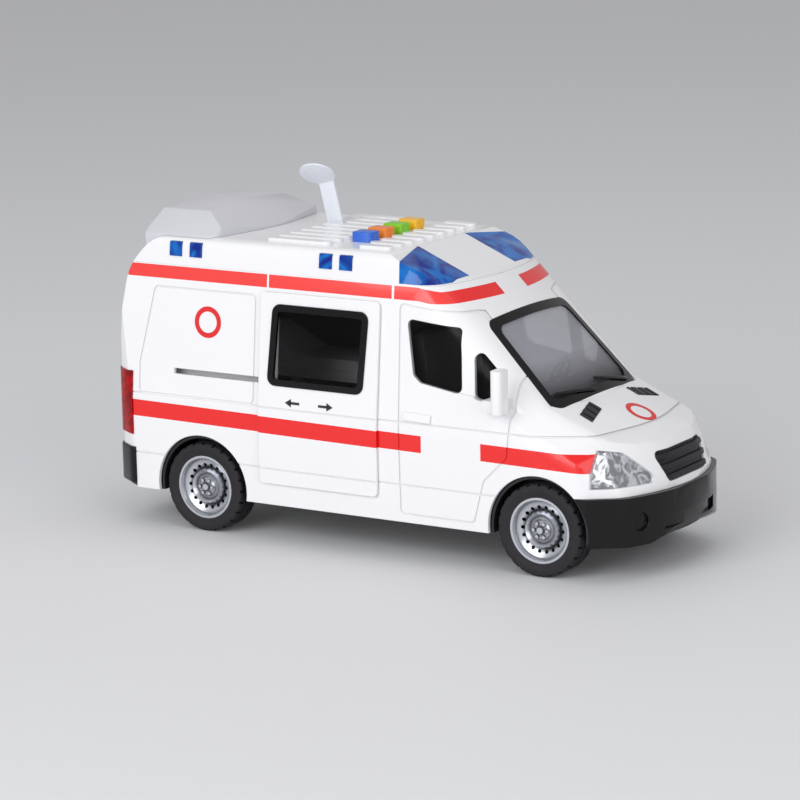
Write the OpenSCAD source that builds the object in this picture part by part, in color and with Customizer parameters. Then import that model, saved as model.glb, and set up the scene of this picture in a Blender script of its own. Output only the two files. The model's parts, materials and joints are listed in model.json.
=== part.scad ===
// Toy ambulance van with a sliding side door, roof sound buttons and a push-and-go motor.
// +X is the front of the van, +Y its left side, +Z is up; the wheels stand on z = 0, and y = 0 is
// halfway across the van with its mirror.

/* [Overall] */
// Length over both bumpers
body_length = 275; // [262:1:290]
// Width over the lower sides
body_width = 106; // [102:1:112]
// Height of the roof floor
roof_z = 134.5; // [132:0.5:138]
// Height of the lower edge of the sides
sill_z = 17; // [15.5:0.5:18]
// Height at which the sides start to lean in
belt_z = 58; // [55:0.5:61]
// How far each side leans in between the belt and the roof
side_lean = 7.4; // [6:0.2:8.4]
// Thickness of the moulded shells
wall = 1.8; // [1.5:0.1:2]

/* [Clearances] */
// Gap between pieces that are clipped or glued together
seat_gap = 0.05; // [0.02:0.01:0.1]
// Gap round pieces that slide
slide_gap = 0.3; // [0.2:0.05:0.4]
// Radial gap of a shaft in its bore
shaft_gap = 0.05; // [0.03:0.01:0.08]

/* [Wheels] */
// Distance between the axles
wheelbase = 175; // [171:1:179]
// Outside diameter of a tyre
tyre_d = 41; // [39:0.5:42]
// Width of a tyre
tyre_w = 14; // [12:0.5:15]
// Diameter of the rim inside the tyre
rim_d = 29; // [27:0.5:31]
// Diameter of the steel axles
axle_d = 3; // [2.5:0.1:3.4]
// Radius of a wheel arch in the side
arch_r = 24.4; // [23.6:0.2:25]
// Number of holes in a wheel disc
wheel_holes = 18; // [10:1:20]
// Number of tread blocks round a tyre
tread_blocks = 24; // [16:1:30]

/* [Sliding door] */
// Length of the sliding door
door_l = 62.6; // [60:0.2:64]
// Height of the sliding door
door_h = 86.5; // [84:0.5:87]
// Thickness of the door panel
door_t = 1.2; // [1:0.1:1.4]
// How far the door slides back
door_travel = 47; // [42:1:48]
// Length of the door window
door_window_l = 50.5; // [46:0.5:51]
// Height of the door window
door_window_h = 36.5; // [34:0.5:37]

/* [Roof] */
// Height of the roof pod above the roof floor
pod_h = 12.4; // [11:0.2:15]
// Number of ribs along the roof
rib_count = 9; // [5:2:9]
// Height of a roof rib
rib_h = 1.5; // [1:0.1:2]
// Length of a sound button
button_l = 10; // [8:0.5:11]
// Width of a sound button
button_w = 8.6; // [7:0.2:9.4]
// Distance between the sound buttons
button_pitch = 13; // [12.6:0.2:14]
// Height of a sound button above the roof floor
button_h = 4.4; // [3.5:0.1:5]
// How far a sound button goes down
button_travel = 1.5; // [1:0.1:1.8]
// Side of a small blue side light
side_light = 6.6; // [5:0.2:7.4]

/* [Motor] */
// Module of the gears
gear_module = 0.7; // [0.66:0.01:0.72]
// Teeth of a large gear
gear_teeth = 24; // [22:2:24]
// Teeth of a pinion
pinion_teeth = 10; // [10:1:11]
// Diameter of the flywheel
flywheel_d = 18; // [15:0.5:19]

/* [Hidden] */
$fn = 48;
over = 1;                    // overrun of every cut
reach = 260;                 // length of a prism that has to pass right through
arc_steps = 5;               // flats in a rounded corner of an outline
half_w = body_width / 2;
front_x = body_length / 2;
rear_x = -front_x;
axle_shift = 0.8;            // the wheels sit this far forward of the middle
front_axle_x = axle_shift + wheelbase / 2;
rear_axle_x = axle_shift - wheelbase / 2;
axle_z = tyre_d / 2;
axles = [rear_axle_x, front_axle_x];
sides = [-1, 1];
right = sides[0];
left = sides[1];
quarter = 90;
flat_limit = 89.5;           // half angle above which a corner needs no rounding

white = [0.95, 0.95, 0.96];
black = [0.07, 0.07, 0.08];
dark = [0.16, 0.16, 0.17];
grey = [0.55, 0.56, 0.58];
steel = [0.75, 0.76, 0.78];
blue = [0.05, 0.25, 0.75];

// Cab and rear body, seen from the side; x is told from the front or the rear end
bumper_lip = 1;              // the body ends this far inside the bumpers
body_rear_x = rear_x + bumper_lip;
seam_z = 121.5;              // joint between body and roof
firewall = 45.5;
screen_foot = 44.5;          // front end to the foot of the windscreen
screen_foot_z = 71.5;
screen_top = 83;             // front end to the top of the windscreen
screen_top_z = 109.3;
visor_foot = 98.7;           // front end to the foot of the sloping roof front
visor_rise = 0.6;
visor_top = 127.5;           // front end to the front edge of the roof floor
visor_r = 12;
rear_crown = 23;             // rear end to the rear edge of the roof floor
rear_crown_r = 20;
rear_waist = 9;
rear_waist_z = 119;
rear_waist_r = 26;
rear_low_z = 70;
bend_r = 60;
roof_edge_r = 5;
rear_corner_x = 11;          // cut of the rear corners, seen from above
rear_corner_y = 7;
rear_corner_r = 8;
wing_r = 10;                 // round of the front corners, seen from above
screen_bow_r = 180;          // bow of the windscreen across the van
pillar_y = 39.6;
pillar_r = 11;               // round of the pillar between windscreen and side
pillar_flare = 30;           // depth over which the pillar widens to the full side
screen_foot_x = front_x - screen_foot;
screen_top_x = front_x - screen_top;
screen_l = norm([screen_foot_x - screen_top_x, screen_top_z - screen_foot_z]);
screen_lean = atan2(screen_top_z - screen_foot_z, screen_foot_x - screen_top_x);
screen_head_x = screen_top_x - (seam_z - screen_top_z) / tan(screen_lean);
roof_half_w = half_w - side_lean;

// Nose
nose_low_z = 37;             // top of the front bumper
nose_back = 95;              // front end to the back of the nose
nose_back_z = 78;
bonnet_mid = 26;
bonnet_mid_z = 65.2;
bonnet_front = 8.5;
bonnet_front_z = 55.5;
bonnet_r = 60;
bonnet_lip_r = 9;
nose_foot = 2.6;
nose_bow_r = 85;
nose_turn = 30;
nose_corner_back = 26;
nose_ball_r = 78;             // ball that rounds the front corners of bonnet and wings
nose_ball_back = 77.5;
nose_ball_z = 20;
bonnet_crown_r = 200;
bonnet_edge_y = 40;
bonnet_edge_drop = 1.8;
bonnet_side_y = 54;
bonnet_side_drop = 12;
bonnet_edge_r = 14;
bonnet_side_r = 8;
bonnet_rise = 1.9;
bonnet_lean = atan2(screen_foot_z - bonnet_front_z, screen_foot - bonnet_front);

// Outlines seen from the side: shares of the length, from the front end, and of the roof height
cab_window_shares = [[0.3935, 0.593], [0.317, 0.568], [0.3245, 0.779], [0.421, 0.798], [0.4065, 0.6155]];
quarter_shares = [[0.295, 0.559], [0.270, 0.5525], [0.261, 0.651], [0.3015, 0.733]];
cab_door_shares = [[0.429, 0.1525], [0.2916, 0.1525], [0.2738, 0.294], [0.2316, 0.378], [0.225, 0.528],
    [0.228, 0.6365], [0.3175, 0.8186], [0.3244, 0.8238], [0.4353, 0.846]];
panel_shares = [[0.940, 0.46], [0.709, 0.46], [0.709, 0.829], [0.912, 0.829], [0.940, 0.565]];
handle_shares = [[0.4215, 0.469], [0.3705, 0.465], [0.3705, 0.492], [0.4215, 0.497]];
outline_r = 2.5;
groove_w = 0.6;
groove_depth = 0.4;
handle_proud = 1;
waist_line_z = 61.5;
sill_line_z = 33.5;

// Windows
glass_t = 1;
glass_face = 0.25;           // panes lie this far below the skin
frame_t = 0.7;
frame_w = 4.4;
screen_foot_w = 37.6;        // half widths of the windscreen
screen_head_w = 34.4;
screen_margin = 1.4;
screen_r = 5;
screen_depth = 9;
wiper_w = 1.5;
wiper_t = 1;
wiper_in = 3;
wiper_rise = 5;
wiper_places = [[-31, -4], [1, 28]];
rear_window_w = 30;
rear_window_h = 34;
rear_window_z = 74;
rear_window_gap = 8;
rear_window_x = 16;

// Lamps, grille and bumpers
lamp_t = 1.2;
reflector_t = 1;
lamp_top_z = 58.5;
lamp_low_z = 41;
lamp_in_y = 25;
lamp_bend_y = 35;
lamp_bend_z = 55;
lamp_slant_z = 44.5;
lamp_back = 25;
lamp_r = 2;
grille_top_z = 53.2;
grille_low_z = 40;
grille_top_w = 22;
grille_low_w = 17;
grille_r = 2.5;
grille_bars = 3;
grille_bar_h = 2;
grille_proud = 0.6;
grille_bar_depth = 1;
vent_back = 37;
vent_y = 24;
vent_l = 6;
vent_w = 14;
vent_skew = 3;
vent_slats = 3;
vent_proud = 0.4;
vent_t = 1.2;
bumper_low_z = 15.5;
bumper_t = 3;
bumper_back = 36;
bumper_chin = 6;
bumper_chin_z = 18;
bumper_cheek_z = 24;
bumper_brow_z = 33.5;
bumper_brow = 1.2;
bumper_r = 2;
intake_low_z = 20.5;
intake_h = 5.5;
intake_w = 46;
intake_depth = 1.4;
fog_d = 8;
fog_y = 36;
fog_z = 26;
rear_bumper_top_z = 36;
rear_bumper_x = 13;
tail_low_z = 42;
tail_top_z = 71.5;
tail_y = 43;
tail_x = 12;
tail_proud = 0.6;
mirror_back = 67.5;
mirror_l = 5.4;
mirror_w = 9;
mirror_y = 52.5;
mirror_low_z = 71.5;
mirror_h = 19;
mirror_r = 2.4;
mirror_arm_h = 5;
mirror_arm_l = 6;
// The frame runs halfway between the mirror and the far end of the rear bumper
frame_y = (mirror_y + mirror_w - body_width / 2 - bumper_lip) / 2;

// Sliding door, its doorway and its runners
door_back = 129.1;           // front end to the front edge of the door
door_front_x = front_x - door_back;
door_rear_x = door_front_x - door_l;
door_low_z = 27;
door_top_z = door_low_z + door_h;
doorway_rear = 8.2;          // how far the door laps over the doorway
doorway_front = 3.4;
doorway_low = 6;
doorway_top = 4.5;
doorway_r = 2;
door_window_x = 4.6;
door_window_low = 45;
door_window_slant = 2.2;
door_window_r = 4;
door_frame_w = 3;
door_frame_proud = 0.5;
door_pane_t = 0.6;
runner_l = 3;
runner_h = 2;
clip_t = 1.2;
clip_lap = 1.2;
rear_runner_x = 1;           // rear edge of the door to its rear runner
rear_runner_z = 73.5;
front_runner_x = 5.4;        // front edge of the door to its front runners
low_runner_z = 29.7;
top_runner = 2.1;            // top edge of the door to its top runner
slot_spare = 1;

// Roof
pod_rear = 16;               // rear end to the foot of the pod
pod_l = 46;
pod_y = 43.5;
pod_top_y = 30;
pod_crown = 2.4;
pod_shares = [[0.02, -0.6], [1, -0.6], [1, 0.02], [0.52, 0.97], [0.44, 1], [0.05, 0.93], [0, 0.2]];
pod_r = 3;
pod_corner = 7;
pod_bow_r = 90;
rib_w = 5;
rib_pitch = 9;
rib_rear_x = -58;
rib_front_x = 7;
button_x = -17;
button_margin = 2.6;
button_r = 1.6;
button_flange = 1;
button_flange_t = 1.4;
button_stem_d = 4;
board_z = 124;
board_t = 1.4;
board_l = 40;
board_w = 62;
board_rear_x = -32;
boss_d = 5;
boss_in = 4;
switch_l = 6;
switch_d = 3.4;
led_d = 5;
led_l = 8;
led_y = 26;
lens_t = 1.6;
lens_in_y = 20;
lens_back = 0.5;             // the lens starts this far in front of the roof floor
lens_low = 0.5;
lens_front = 2;
lip_h = 3;
lip_t = 1.2;
side_light_z = 129;
side_light_xs = [-102, -91, -21.2, -10.6];
side_light_proud = 0.5;
side_light_t = 1.4;
tab_x = -54;
tab_y = 13.5;
tab_w = 8;
tab_t = 0.8;
tab_lean = 14;
tab_down = 7;
tab_up = 21;
tab_head_d = 16.5;
tab_bend = 52;

// Chassis and cabin
plate_t = 2;
plate_gap = 0.3;
liner_t = 1.2;
liner_w = 17;
well_gap = 0.4;
wheel_in = 1.2;              // tyre face behind the side of the body
bearing_y = 25;
bearing_w = 6;
bearing_l = 10;
bearing_h = 6;
floor_z = 33;
deck_z = 47;
tub_t = 1.4;
tub_side_y = 43;
tub_top_z = 112;
tub_rear_x = -117;
riser_back_x = -53;
riser_front_x = 58;
bulkhead_x = 14;
post_d = 6;
post_x = 45;
post_y = 38;
screw_d = 2.6;
screw_l = 11;
screw_head_d = 5;
screw_head_t = 1.4;
seat_shares = [[0, 0], [1, 0], [1.04, 0.42], [0.92, 0.47], [0.40, 0.44], [0.24, 0.97], [0.16, 1],
    [0.02, 0.98], [0, 0.5]];
seat_l = 27;
seat_h = 65;
seat_w = 33;
seat_in = 7;
seat_rear_x = 18;
seat_r = 2;
dash_shares = [[0.45, 0], [0.8, 0], [1, 0.45], [1.08, 0.8], [0.8, 1], [0.15, 0.98], [0, 0.7], [0.4, 0.6]];
dash_l = 21;
dash_h = 26;
dash_x = 63;
dash_half_w = 40;
wheel_ring_d = 15;
wheel_ring_t = 1.8;
wheel_ring_y = 22;
column_l = 7;
column_d = 2.9;
spoke_count = 3;
bed_front_x = -4;
bed_l = 100;
bed_y = 8;
bed_w = 31;
bed_z = 62;
bed_t = 5;
bed_wall = 1.6;
bed_leg = 4;
bed_leg_in = 8;
bed_r = 5;
mattress_t = 5;
head_rest_l = 28;
head_rest_rise = 11;
speaker_d = 28;
speaker_h = 7;
speaker_x = 30;
speaker_holes = 6;
speaker_hole_d = 2;
cone_share = 0.7;
cell_d = 11.6;
cell_h = 5.4;
cell_pitch = 12.4;
cell_count = 3;
battery_x = -26;
battery_margin = 2.4;
battery_wall = 1.4;
battery_h = 8;
cover_lap = 1.2;

// Motor
housing_rear = 12.5;         // axle to the rear wall of the housing
housing_l = 43.5;
housing_low = 11;
housing_h = 36;
housing_half_w = 14;
housing_t = 1.6;
housing_r = 5;
housing_tab = 4;
housing_tab_w = 10;
housing_tab_t = 2;
pin_d = 2;
gear_t = 4;
gear_y = 3;
idler_y = -2;
pinion_spare = 0.4;
flywheel_t = 7;
flywheel_y = -11.5;
idler_dir = 50;
flywheel_dir = 20;
gear_addendum_share = 0.65;
pinion_addendum_share = 0.9;
dedendum_share = 1.15;
backlash_share = 0.14;
pressure_angle = 20;
flank_steps = 3;
gear_centres = gear_module * (gear_teeth + pinion_teeth) / 2;
idler_x = rear_axle_x + gear_centres * cos(idler_dir);
idler_z = axle_z + gear_centres * sin(idler_dir);
flywheel_x = idler_x + gear_centres * cos(flywheel_dir);
flywheel_z = idler_z + gear_centres * sin(flywheel_dir);

// Wheel, told from its inner face
rim_step = 0.8;
rim_w = tyre_w - rim_step;
rim_lip = 2;
rim_disc = 8;
rim_disc_t = 1.6;
rim_dish = 3;
rim_dish_r = 7.4;
rim_hub_r = 4.6;
rim_hub_h = 12.2;
rim_bore_low = 3;
rim_bore_top = 10.6;
rim_nub_r = 1.9;
rim_nub_h = 1;
lug_count = 6;
lug_d = 1.5;
lug_h = 0.6;
lug_r = 3.3;
wheel_hole_d = 1.7;
wheel_hole_r = 9.9;
tyre_shoulder = 1.6;
tyre_bulge = 0.8;
tread_groove = 1.2;
tread_depth = 0.9;
tread_block_w = 1.3;
tread_block_l = 3.4;
wheel_face_y = half_w - wheel_in;
wheel_back_y = wheel_face_y - tyre_w;
tyre_seat = rim_d / 2 + seat_gap;
lens_slant_share = 0.246;    // how far the rear edge of a blue lens runs forward per depth across
button_count = 4;
switch_h = 1.8;
pod_rear_x = rear_x + pod_rear;
deck_front = 51.5;
rim_margin = 0.5;
rim_dish_t = 1.2;
tread_track = 2.2;

function unit(v) = v / norm(v);
// Points of the arc that rounds the corner a, between p and b
function corner(p, a, b, r) =
    let (u = unit(p - a), w = unit(b - a), half = acos(u * w) / 2)
    r <= 0 || half > flat_limit ? [a] :
    let (c = a + unit(u + w) * r / sin(half),
         s = a + u * r / tan(half) - c,
         side = u.x * w.y - u.y * w.x < 0 ? 1 : -1,
         from = atan2(s.y, s.x),
         turn = side * 2 * (quarter - half))
    [for (i = [0:arc_steps]) c + r * [cos(from + turn * i / arc_steps), sin(from + turn * i / arc_steps)]];
// Outline with each corner rounded by its own radius
function rounded(pts, radii) =
    let (n = len(pts))
    [for (i = [0:n - 1]) each corner(pts[(i + n - 1) % n], pts[i], pts[(i + 1) % n], radii[i])];
function all_round(pts, r) = rounded(pts, [for (p = pts) r]);
// Anticlockwise outline moved inwards by d, mitred at its corners
function inset(pts, d) =
    let (n = len(pts))
    [for (i = [0:n - 1])
        let (u = unit(pts[i] - pts[(i + n - 1) % n]), w = unit(pts[(i + 1) % n] - pts[i]),
             nu = [-u.y, u.x], nw = [-w.y, w.x])
        pts[i] + (nu + nw) * d / (1 + nu * nw)];
function box_pts(x0, x1, y0, y1) = [[x0, y0], [x1, y0], [x1, y1], [x0, y1]];
function flip_x(pts) = [for (i = [len(pts) - 1:-1:0]) [-pts[i].x, pts[i].y]];
function arc(c, r, a0, a1, n) =
    [for (i = [0:n]) c + r * [cos(a0 + (a1 - a0) * i / n), sin(a0 + (a1 - a0) * i / n)]];
function from_front(shares) = [for (s = shares) [front_x - s.x * body_length, s.y * roof_z]];
function scaled(shares, x, z, l, h) = [for (s = shares) [x + s.x * l, z + s.y * h]];
function low_y(side) = side < 0 ? -reach : 0;
function high_y(side) = side < 0 ? 0 : reach;

// Prisms whose outline is drawn in the YZ, XZ or XY plane
module along_x(x0, x1, pts) translate([x0, 0, 0]) rotate([90, 0, 90]) linear_extrude(x1 - x0) polygon(pts);
module along_y(y0, y1, pts) translate([0, y1, 0]) rotate([90, 0, 0]) linear_extrude(y1 - y0) polygon(pts);
module along_z(z0, z1, pts) translate([0, 0, z0]) linear_extrude(z1 - z0) polygon(pts);
module block(x0, x1, y0, y1, z0, z1) translate([x0, y0, z0]) cube([x1 - x0, y1 - y0, z1 - z0]);
module rod_y(x, z, d, y0, y1) translate([x, y0, z]) rotate([-90, 0, 0]) cylinder(d = d, h = y1 - y0);
module rod_z(x, y, d, z0, z1) translate([x, y, z0]) cylinder(d = d, h = z1 - z0);
// Frames that lie on the windscreen and on the bonnet: local X runs down, local Z stands off
module on_screen() translate([screen_foot_x, 0, screen_foot_z]) rotate([0, screen_lean, 0]) children();
module on_bonnet() translate([screen_foot_x, 0, screen_foot_z]) rotate([0, bonnet_lean, 0]) children();

side_pts = [
    [body_rear_x, sill_z], [front_x - firewall, sill_z], [screen_foot_x, screen_foot_z],
    [screen_head_x, seam_z], [front_x - visor_foot, seam_z + visor_rise],
    [front_x - visor_top, roof_z], [rear_x + rear_crown, roof_z],
    [rear_x + rear_waist, rear_waist_z], [body_rear_x, rear_low_z]];
side_radii = [0, 0, 0, 0, 0, visor_r, rear_crown_r, rear_waist_r, bend_r];
section_pts = [[-half_w, 0], [half_w, 0], [half_w, belt_z], [roof_half_w, roof_z],
    [-roof_half_w, roof_z], [-half_w, belt_z]];
section_radii = [0, 0, bend_r, roof_edge_r, roof_edge_r, bend_r];
pillar_turn = asin(pillar_y / screen_bow_r);
pillar_mid = (screen_bow_r - pillar_r) * [sin(pillar_turn), cos(pillar_turn)] - [0, screen_bow_r];
pillar_edge = arc(pillar_mid, pillar_r, 0, (quarter - pillar_turn) * (1 - 1 / arc_steps), arc_steps - 1);
pillar_pts = concat([[half_w + over, -reach], [half_w + over, pillar_mid.y - pillar_flare]], pillar_edge,
    arc([0, -screen_bow_r], screen_bow_r, quarter - pillar_turn, quarter + pillar_turn, 2 * arc_steps),
    flip_x(pillar_edge), [[-half_w - over, pillar_mid.y - pillar_flare], [-half_w - over, -reach]]);
nose_pts = [[front_x - nose_back, nose_low_z], [front_x - nose_foot, nose_low_z],
    [front_x - bonnet_front, bonnet_front_z], [front_x - bonnet_mid, bonnet_mid_z],
    [screen_foot_x, screen_foot_z], [front_x - nose_back, nose_back_z]];
nose_radii = [0, 0, bonnet_lip_r, bonnet_r, 0, 0];
bonnet_pts = [[-bonnet_side_y, -reach], [bonnet_side_y, -reach], [bonnet_side_y, -bonnet_side_drop],
    [bonnet_edge_y, -bonnet_edge_drop], [0, bonnet_rise], [-bonnet_edge_y, -bonnet_edge_drop],
    [-bonnet_side_y, -bonnet_side_drop]];
bonnet_radii = [0, 0, bonnet_side_r, bonnet_edge_r, bonnet_crown_r, bonnet_edge_r, bonnet_side_r];

// Plan of the whole van, with a bow of its own at the front
function plan(front, bow_r, turn, corner_x) = concat(
    [[body_rear_x, half_w - rear_corner_y], [body_rear_x, rear_corner_y - half_w],
        [body_rear_x + rear_corner_x, -half_w], [front - corner_x, -half_w]],
    arc([front - bow_r, 0], bow_r, -turn, turn, 2 * arc_steps),
    [[front - corner_x, half_w], [body_rear_x + rear_corner_x, half_w]]);
plan_radii = concat([rear_corner_r, rear_corner_r, rear_corner_r, wing_r, wing_r],
    [for (i = [2:2 * arc_steps]) 0], [wing_r, wing_r, rear_corner_r]);
function plan_in(pts, d) = rounded(inset(pts, d), plan_radii);
nose_plan = plan(front_x - nose_foot, nose_bow_r, nose_turn, nose_corner_back);
bumper_plan = plan(front_x, nose_bow_r, nose_turn, nose_corner_back);

// Outer form of cab and rear body, moved in by d
module cab_form(d) intersection() {
    along_y(-reach, reach, rounded(inset(side_pts, d), side_radii));
    along_x(-reach, reach, rounded(inset(section_pts, d), section_radii));
    along_z(0, reach, plan_in(nose_plan, d));
    on_screen() along_x(-reach, reach, inset(pillar_pts, d));
}
// Outer form of bonnet and front wings, moved in by d
module nose_form(d) intersection() {
    along_y(-reach, reach, rounded(inset(nose_pts, d), nose_radii));
    along_x(-reach, reach, rounded(inset(section_pts, d), section_radii));
    along_z(0, reach, plan_in(nose_plan, d));
    on_bonnet() along_x(-reach, reach, rounded(inset(bonnet_pts, d), bonnet_radii));
    translate([front_x - nose_ball_back, 0, nose_ball_z]) sphere(nose_ball_r - d);
}
module body_form(d) {
    cab_form(d);
    nose_form(d);
}
// Layers between two depths below the surface
module cab_skin(d0, d1) difference() {
    cab_form(d0);
    cab_form(d1);
}
module nose_skin(d0, d1) difference() {
    nose_form(d0);
    nose_form(d1);
}
// Hollow of the body, open at the bottom
module body_hollow() {
    body_form(wall);
    intersection() {
        along_z(0, sill_z + 2 * wall, plan_in(nose_plan, wall));
        block(-reach, front_x - firewall - wall, -reach, reach, -over, reach);
    }
}
// A line of the groove width along a closed outline
module ring_y(y0, y1, pts, w) difference() {
    along_y(y0, y1, pts);
    along_y(y0 - over, y1 + over, inset(pts, w));
}
module waist_lines() for (z = [waist_line_z, sill_line_z])
    block(-reach, reach, -reach, reach, z, z + groove_w);

function screen_pts(d) = all_round(inset([[-screen_margin, -screen_foot_w], [-screen_margin, screen_foot_w],
    [screen_margin - screen_l, screen_head_w], [screen_margin - screen_l, -screen_head_w]], d), screen_r);
module screen_hole(d) on_screen() along_z(-screen_depth, screen_depth, screen_pts(d));
module cab_windows(d, y0, y1) for (shares = [cab_window_shares, quarter_shares])
    along_y(y0, y1, all_round(inset(from_front(shares), d), outline_r));
function lamp_pts(d) = all_round(inset([[-reach, lamp_low_z], [-lamp_in_y, lamp_low_z], [-lamp_in_y,
    lamp_slant_z],
    [-lamp_bend_y, lamp_bend_z], [-half_w + lamp_r, lamp_top_z], [-reach, lamp_top_z]], d), lamp_r);
module lamp_hole(side, d) intersection() {
    along_x(0, reach, side < 0 ? lamp_pts(d) : flip_x(lamp_pts(d)));
    block(front_x - lamp_back + d, reach, -reach, reach, 0, reach);
}
function grille_pts(d) = all_round(inset([[-grille_low_w, grille_low_z], [grille_low_w, grille_low_z],
    [grille_top_w, grille_top_z], [-grille_top_w, grille_top_z]], d), grille_r);
function vent_pts(d) = inset([[front_x - vent_back - vent_l / 2 - vent_skew, -vent_y + vent_w / 2],
    [front_x - vent_back - vent_l / 2, -vent_y - vent_w / 2], [front_x - vent_back + vent_l / 2,
        -vent_y - vent_w / 2],
    [front_x - vent_back + vent_l / 2 - vent_skew, -vent_y + vent_w / 2]], d);
module vent_holes(d) for (side = sides) scale_y(side) along_z(bonnet_front_z, reach, vent_pts(d));
module scale_y(side) mirror([0, side > 0 ? 1 : 0, 0]) children();
module tail_hole(side, d) block(-reach, body_rear_x + tail_x - d, side < 0 ? -reach : tail_y + d,
    side < 0 ? -tail_y - d : reach, tail_low_z + d, tail_top_z - d);
module rear_windows(d) for (side = sides) along_x(-reach, body_rear_x + rear_window_x,
    all_round(inset(box_pts(side * rear_window_gap / 2 + (side < 0 ? -rear_window_w : 0),
        side * rear_window_gap / 2 + (side < 0 ? 0 : rear_window_w), rear_window_z,
            rear_window_z + rear_window_h), d),
        outline_r));
module doorway() along_y(-reach, 0, all_round(box_pts(door_rear_x + doorway_rear,
    door_front_x - doorway_front,
    door_low_z + doorway_low, door_top_z - doorway_top), doorway_r));
// Runners of the sliding door: place of each, grown by a gap and stretched back along its slot
runners = [[door_rear_x + rear_runner_x, rear_runner_z], [door_front_x - front_runner_x, low_runner_z],
    [door_front_x - front_runner_x, door_top_z - top_runner]];
module runner(i, grow, back) block(runners[i].x - grow - back, runners[i].x + runner_l + grow, -reach, 0,
    runners[i].y - runner_h / 2 - grow, runners[i].y + runner_h / 2 + grow);
door_pts = all_round(box_pts(door_rear_x, door_front_x, door_low_z, door_top_z), outline_r);
function door_window_pts(d) = let (x = door_rear_x + door_window_x, z = door_low_z + door_window_low)
    all_round(inset([[x, z], [x + door_window_l, z], [x + door_window_l + door_window_slant,
        z + door_window_h],
        [x + door_window_slant, z + door_window_h]], d), door_window_r);
rear_door_w = half_w - rear_corner_y;
module rear_door_lines() difference() {
    along_x(-reach, rear_x + rear_corner_x, box_pts(-rear_door_w, rear_door_w, rear_bumper_top_z,
        seam_z - wall));
    for (side = sides) along_x(-reach, rear_x + rear_corner_x,
        box_pts(side < 0 ? -rear_door_w + groove_w : groove_w / 2,
        side < 0 ? -groove_w / 2 : rear_door_w - groove_w, rear_bumper_top_z + groove_w,
            seam_z - wall - groove_w));
}
module arches() for (x = axles) rod_y(x, axle_z, 2 * arch_r, -reach, reach);

module body_shell() color(white) difference() {
    union() {
        intersection() {
            difference() {
                body_form(0);
                body_hollow();
            }
            block(-reach, reach, -reach, reach, 0, seam_z);
        }
        intersection() {
            cab_skin(-handle_proud, wall);
            along_y(-reach, reach, all_round(from_front(handle_shares), groove_w));
        }
    }
    difference() {
        union() {
            for (side = sides) ring_y(low_y(side), high_y(side), all_round(from_front(cab_door_shares),
                outline_r), groove_w);
            for (side = sides) ring_y(low_y(side), high_y(side), all_round(from_front(panel_shares),
                outline_r), groove_w);
            waist_lines();
            rear_door_lines();
        }
        body_form(groove_depth);
    }
    screen_hole(0);
    cab_windows(0, -reach, reach);
    for (side = sides) {
        lamp_hole(side, 0);
        tail_hole(side, 0);
    }
    along_x(front_x - bonnet_mid, reach, grille_pts(0));
    vent_holes(0);
    rear_windows(0);
    doorway();
    for (i = [0:len(runners) - 1]) runner(i, slide_gap, door_travel + slot_spare);
    arches();
    block(-reach, body_rear_x + rear_bumper_x, -reach, reach, 0, rear_bumper_top_z);
}
lens_rear_x = front_x - visor_top + lens_back;
lens_front_x = front_x - visor_foot - lens_front;
function lens_pts(d) = let (y = half_w + over) inset([[lens_rear_x + (y - lens_in_y) * lens_slant_share,
    -y],
    [lens_front_x, -y], [lens_front_x, -lens_in_y], [lens_rear_x, -lens_in_y]], d);
module lens_hole(side, d) scale_y(side) along_z(seam_z + lens_low + d, reach, lens_pts(d));
function button_y(i) = (i - (button_count - 1) / 2) * button_pitch;
function button_pts(i, grow) = all_round(box_pts(button_x - button_l / 2 - grow,
    button_x + button_l / 2 + grow,
    button_y(i) - button_w / 2 - grow, button_y(i) + button_w / 2 + grow), button_r);
module side_light_holes(side, d) for (x = side_light_xs) along_y(low_y(side), high_y(side),
    inset(box_pts(x - side_light / 2, x + side_light / 2, side_light_z - side_light / 2,
        side_light_z + side_light / 2), d));
module on_tab() translate([tab_x, tab_y, roof_z]) rotate([0, -tab_lean, 0]) children();
module rib(x0, x1, y) {
    block(x0 + rib_w / 2, x1 - rib_w / 2, y - rib_w / 2, y + rib_w / 2, roof_z - wall / 2, roof_z + rib_h);
    for (x = [x0 + rib_w / 2, x1 - rib_w / 2]) rod_z(x, y, rib_w, roof_z - wall / 2, roof_z + rib_h);
}
button_field = button_l / 2 + button_margin;
board_front_x = board_rear_x + board_l;
board_top_z = board_z + board_t;
boss_xs = [board_rear_x + boss_in, board_front_x - boss_in];
boss_y = board_w / 2 - boss_in;

module roof_shell() color(white) difference() {
    union() {
        intersection() {
            cab_skin(0, wall);
            block(-reach, reach, -reach, reach, seam_z, reach);
        }
        intersection() {
            cab_skin(wall + seat_gap, wall + seat_gap + lip_t);
            block(-reach, reach, -reach, reach, seam_z - lip_h, seam_z + lip_h);
        }
        intersection() {
            cab_skin(wall / 2, wall + seat_gap + lip_t);
            block(-reach, reach, -reach, reach, seam_z, seam_z + lip_h);
        }
        for (i = [0:rib_count - 1]) {
            rib(rib_rear_x, button_x - button_field, (i - (rib_count - 1) / 2) * rib_pitch);
            rib(button_x + button_field, rib_front_x, (i - (rib_count - 1) / 2) * rib_pitch);
        }
        for (x = boss_xs, side = sides) rod_z(x, side * boss_y, boss_d, board_top_z + seat_gap,
            roof_z - wall / 2);
    }
    for (side = sides) {
        lens_hole(side, 0);
        side_light_holes(side, 0);
    }
    for (i = [0:button_count - 1]) along_z(roof_z - 2 * wall, roof_z + 2 * rib_h, button_pts(i, slide_gap));
    on_tab() block(-tab_w / 2 - slide_gap, tab_w / 2 + slide_gap, -tab_t / 2 - slide_gap,
        tab_t / 2 + slide_gap,
        -tab_down, tab_down);
}
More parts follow.
